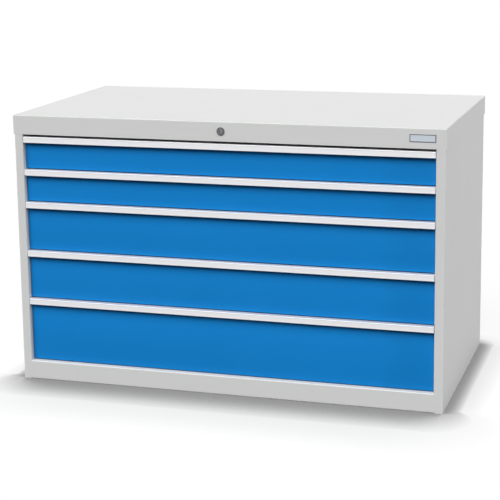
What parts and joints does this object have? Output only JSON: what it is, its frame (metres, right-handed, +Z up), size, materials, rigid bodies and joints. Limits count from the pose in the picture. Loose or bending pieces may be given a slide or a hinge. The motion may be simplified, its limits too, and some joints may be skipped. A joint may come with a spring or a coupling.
{
  "type": "drawer cabinet",
  "caption": "Low wide workshop drawer cabinet with a folded steel housing, full-width aluminium handle strips, telescopic drawer slides and a central lock.",
  "frame": {"origin": "centre of the footprint on the floor", "axes": "+Z up, -Y towards the drawer fronts, +X to the right when facing the fronts"},
  "size_m": [1.305, 0.723, 0.819],
  "materials": {
    "housing_enamel": "satin light grey powder coat",
    "tray_enamel": "satin light grey powder coat",
    "front_enamel": "satin blue powder coat",
    "handle_aluminium": "matt natural anodised extrusion",
    "zinc_plated_steel": "bright zinc plated",
    "roller_plastic": "natural moulded nylon",
    "guide_plastic": "black moulded nylon",
    "lock_nickel": "satin nickel plated",
    "plate_aluminium": "satin with a raised border"
  },
  "bodies": {
    "cabinet": {"left_side_panel": "housing_enamel", "right_side_panel": "housing_enamel", "top_cover": "housing_enamel", "head_rail": "housing_enamel", "front_plinth": "housing_enamel", "floor_panel": "housing_enamel", "back_panel": "housing_enamel", "front_left_upright": "zinc_plated_steel", "front_right_upright": "zinc_plated_steel", "rear_left_upright": "zinc_plated_steel", "rear_right_upright": "zinc_plated_steel", "rim_plate": "plate_aluminium", "lock_barrel": "lock_nickel", "lock_nut": "zinc_plated_steel", "draw_bar_guides": "guide_plastic", "locking_bar_guides": "guide_plastic", "cabinet_rails": "zinc_plated_steel", "cabinet_rail_rollers": "roller_plastic"},
    "lock_core": {"lock_plug": "lock_nickel", "lock_cam": "zinc_plated_steel", "cam_screw": "zinc_plated_steel"},
    "draw_bar": {"draw_bar": "zinc_plated_steel"},
    "locking_bar": {"locking_bar": "zinc_plated_steel", "locking_lugs": "zinc_plated_steel"},
    "drawer_1": {"drawer_1_tray": "tray_enamel", "drawer_1_front": "front_enamel", "drawer_1_handle": "handle_aluminium", "drawer_1_rails": "zinc_plated_steel", "drawer_1_rollers": "roller_plastic"},
    "drawer_1_middle": {"drawer_1_middle_rails": "zinc_plated_steel", "drawer_1_middle_rollers": "roller_plastic"},
    "drawer_2": {"drawer_2_tray": "tray_enamel", "drawer_2_front": "front_enamel", "drawer_2_handle": "handle_aluminium", "drawer_2_rails": "zinc_plated_steel", "drawer_2_rollers": "roller_plastic"},
    "drawer_2_middle": {"drawer_2_middle_rails": "zinc_plated_steel", "drawer_2_middle_rollers": "roller_plastic"},
    "drawer_3": {"drawer_3_tray": "tray_enamel", "drawer_3_front": "front_enamel", "drawer_3_handle": "handle_aluminium", "drawer_3_rails": "zinc_plated_steel", "drawer_3_rollers": "roller_plastic"},
    "drawer_3_middle": {"drawer_3_middle_rails": "zinc_plated_steel", "drawer_3_middle_rollers": "roller_plastic"},
    "drawer_4": {"drawer_4_tray": "tray_enamel", "drawer_4_front": "front_enamel", "drawer_4_handle": "handle_aluminium", "drawer_4_rails": "zinc_plated_steel", "drawer_4_rollers": "roller_plastic"},
    "drawer_4_middle": {"drawer_4_middle_rails": "zinc_plated_steel", "drawer_4_middle_rollers": "roller_plastic"},
    "drawer_5": {"drawer_5_tray": "tray_enamel", "drawer_5_front": "front_enamel", "drawer_5_handle": "handle_aluminium", "drawer_5_rails": "zinc_plated_steel", "drawer_5_rollers": "roller_plastic"},
    "drawer_5_middle": {"drawer_5_middle_rails": "zinc_plated_steel", "drawer_5_middle_rollers": "roller_plastic"}
  },
  "joints": [
    {"name": "drawer_1_slide", "type": "slide", "parent": "cabinet", "child": "drawer_1", "axis": [0, -1, 0], "range_m": [0, 0.6]},
    {"name": "drawer_1_middle_slide", "type": "slide", "parent": "cabinet", "child": "drawer_1_middle", "axis": [0, -1, 0], "range_m": [0, 0.3]},
    {"name": "drawer_2_slide", "type": "slide", "parent": "cabinet", "child": "drawer_2", "axis": [0, -1, 0], "range_m": [0, 0.6]},
    {"name": "drawer_2_middle_slide", "type": "slide", "parent": "cabinet", "child": "drawer_2_middle", "axis": [0, -1, 0], "range_m": [0, 0.3]},
    {"name": "drawer_3_slide", "type": "slide", "parent": "cabinet", "child": "drawer_3", "axis": [0, -1, 0], "range_m": [0, 0.6]},
    {"name": "drawer_3_middle_slide", "type": "slide", "parent": "cabinet", "child": "drawer_3_middle", "axis": [0, -1, 0], "range_m": [0, 0.3]},
    {"name": "drawer_4_slide", "type": "slide", "parent": "cabinet", "child": "drawer_4", "axis": [0, -1, 0], "range_m": [0, 0.6]},
    {"name": "drawer_4_middle_slide", "type": "slide", "parent": "cabinet", "child": "drawer_4_middle", "axis": [0, -1, 0], "range_m": [0, 0.3]},
    {"name": "drawer_5_slide", "type": "slide", "parent": "cabinet", "child": "drawer_5", "axis": [0, -1, 0], "range_m": [0, 0.6]},
    {"name": "drawer_5_middle_slide", "type": "slide", "parent": "cabinet", "child": "drawer_5_middle", "axis": [0, -1, 0], "range_m": [0, 0.3]},
    {"name": "lock_turn", "type": "hinge", "parent": "cabinet", "child": "lock_core", "pos_m": [0, -0.359, 0.791], "axis": [0, 1, 0], "range_deg": [0, 90]},
    {"name": "draw_bar_slide", "type": "slide", "parent": "cabinet", "child": "draw_bar", "axis": [-1, 0, 0], "range_m": [0, 0.01202]},
    {"name": "locking_bar_lift", "type": "slide", "parent": "cabinet", "child": "locking_bar", "axis": [0, 0, 1], "range_m": [0, 0.01202]}
  ],
  "couplings": [
    {"joint": "drawer_1_middle_slide", "follows": "drawer_1_slide", "ratio": 0.5},
    {"joint": "drawer_2_middle_slide", "follows": "drawer_2_slide", "ratio": 0.5},
    {"joint": "drawer_3_middle_slide", "follows": "drawer_3_slide", "ratio": 0.5},
    {"joint": "drawer_4_middle_slide", "follows": "drawer_4_slide", "ratio": 0.5},
    {"joint": "drawer_5_middle_slide", "follows": "drawer_5_slide", "ratio": 0.5},
    {"joint": "lock_turn", "follows": "draw_bar_slide", "rad_per_m": 130.67},
    {"joint": "locking_bar_lift", "follows": "draw_bar_slide", "ratio": 1}
  ]
}
